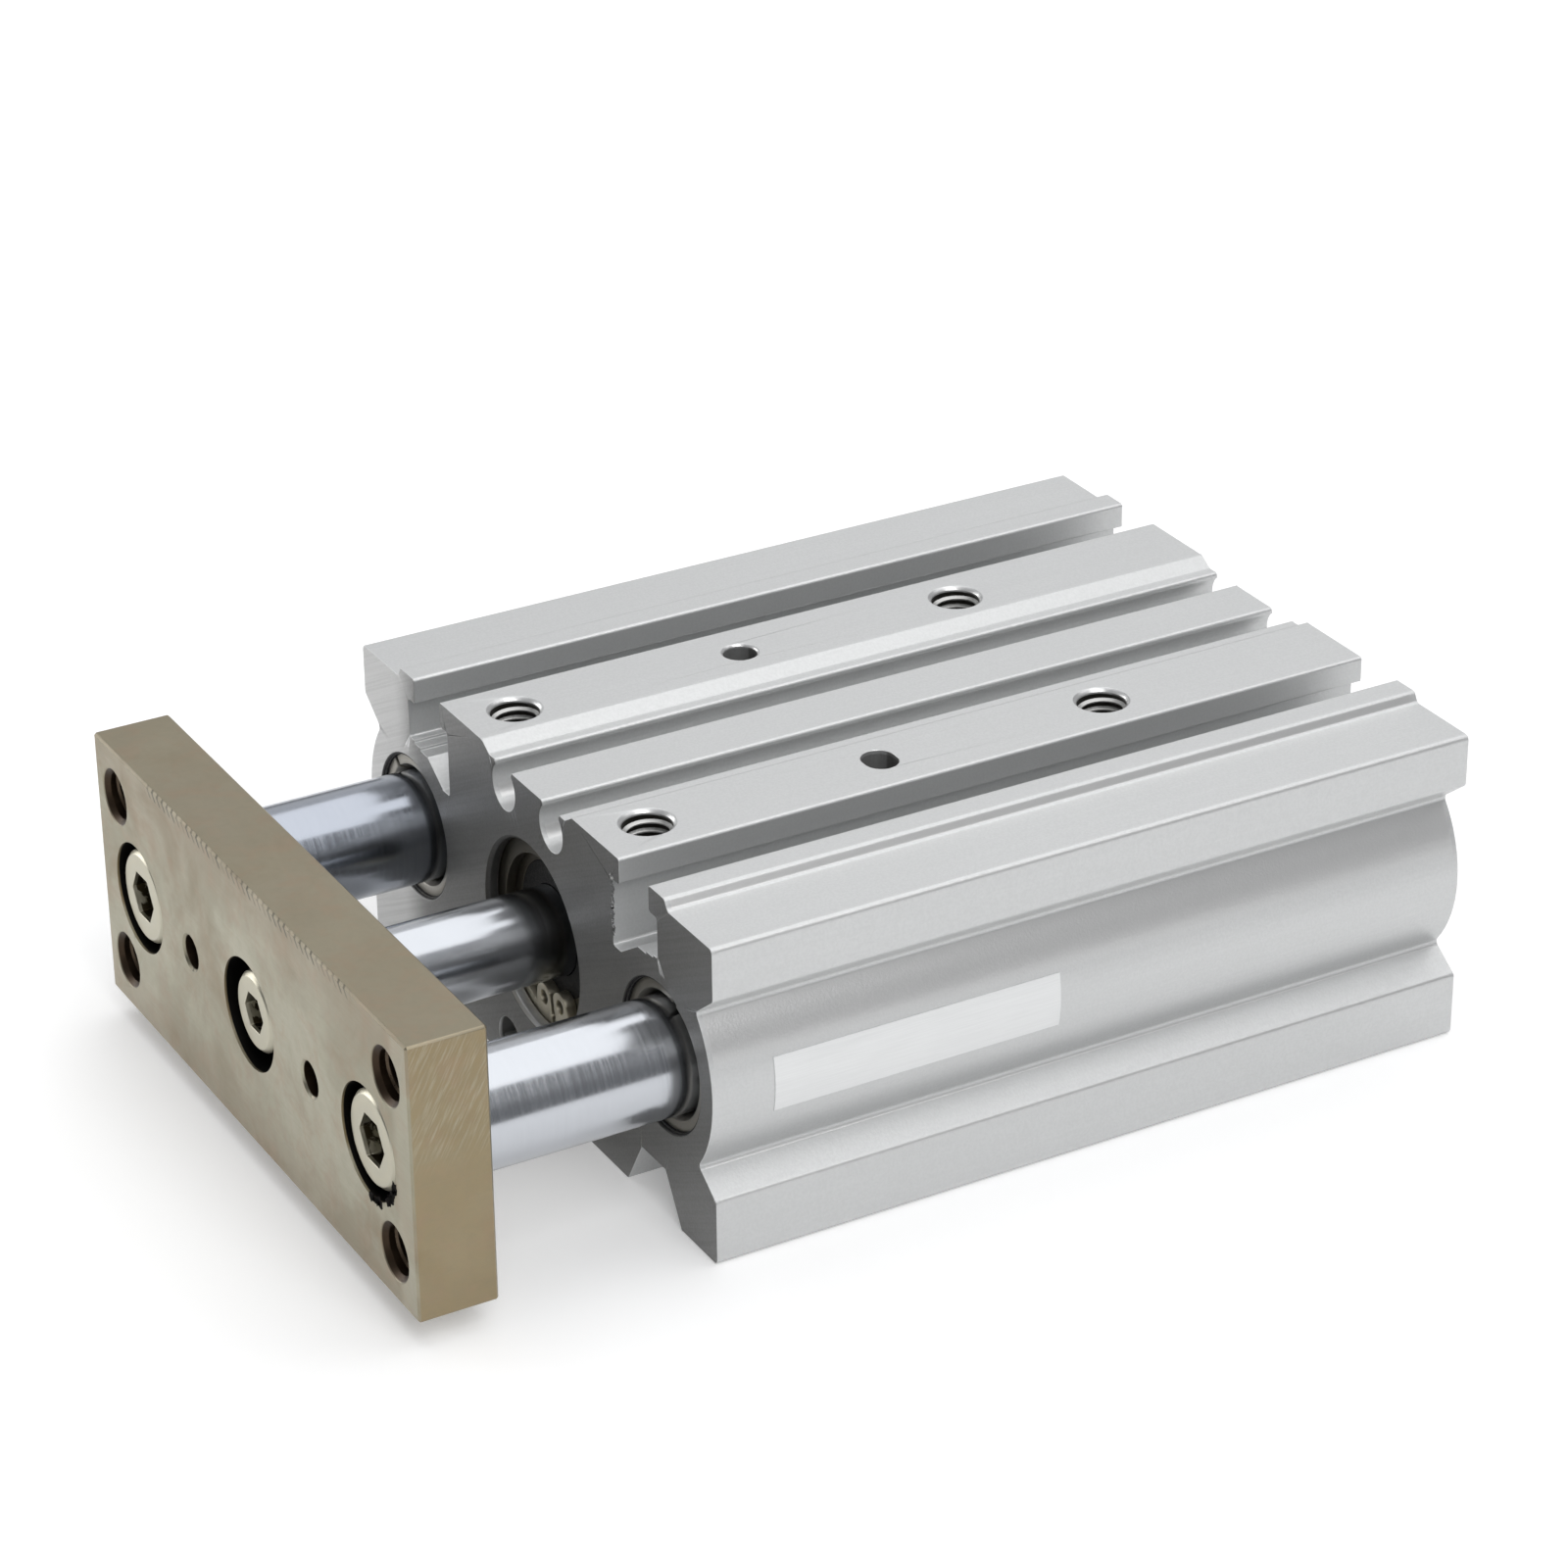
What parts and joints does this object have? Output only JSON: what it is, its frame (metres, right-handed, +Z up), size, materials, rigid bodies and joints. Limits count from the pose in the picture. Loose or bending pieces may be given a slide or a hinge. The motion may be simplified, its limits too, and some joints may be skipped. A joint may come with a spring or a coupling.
{
  "type": "guided pneumatic cylinder",
  "caption": "Compact guided air cylinder: extruded block with nut slots and sensor grooves, piston rod and guide rods driving a rectangular steel front plate.",
  "frame": {"origin": "middle of the four mounting holes, in the underside plane of the block", "axes": "+X across the block to the right as seen facing the front plate, +Y along the rods away from the front plate, +Z up through the nut slot face"},
  "size_m": [0.064, 0.099, 0.03],
  "materials": {
    "block_anodised": "fine blasted, clear anodised",
    "cover_aluminium": "turned",
    "bushing_bronze": "sintered bronze",
    "bushing_steel": "rolled, tinned steel",
    "seal_rubber": "matte black",
    "bumper_urethane": "matte",
    "ring_steel": "phosphated spring steel",
    "plug_steel": "nickel plated",
    "plate_nickel": "milled, nickel plated, slightly stained",
    "rod_chrome": "ground and hard chromed",
    "bolt_nickel": "nickel plated",
    "magnet_bonded": "bonded magnet"
  },
  "bodies": {
    "cylinder": {"body_block": "block_anodised", "rod_cover": "cover_aluminium", "rod_bushing": "bushing_bronze", "rod_seal": "seal_rubber", "rod_cover_oring": "seal_rubber", "rod_cover_retaining_ring": "ring_steel", "front_bumper": "bumper_urethane", "head_cover": "cover_aluminium", "head_cover_oring": "seal_rubber", "head_cover_retaining_ring": "ring_steel", "rear_bumper": "bumper_urethane", "guide_bushing_front_left": "bushing_steel", "guide_bushing_front_right": "bushing_steel", "guide_bushing_inner_left": "bushing_steel", "guide_bushing_inner_right": "bushing_steel", "side_port_plug_front": "plug_steel", "side_port_plug_rear": "plug_steel"},
    "carriage": {"front_plate": "plate_nickel", "piston_rod": "rod_chrome", "piston_rod_bolt": "bolt_nickel", "piston": "cover_aluminium", "piston_seal": "seal_rubber", "magnet_ring": "magnet_bonded", "guide_rod_left": "rod_chrome", "guide_rod_right": "rod_chrome", "guide_rod_bolt_left": "bolt_nickel", "guide_rod_bolt_right": "bolt_nickel"}
  },
  "joints": [
    {"name": "carriage_slide", "type": "slide", "parent": "cylinder", "child": "carriage", "axis": [0, -1, 0], "range_m": [-0.013, 0.027]}
  ]
}
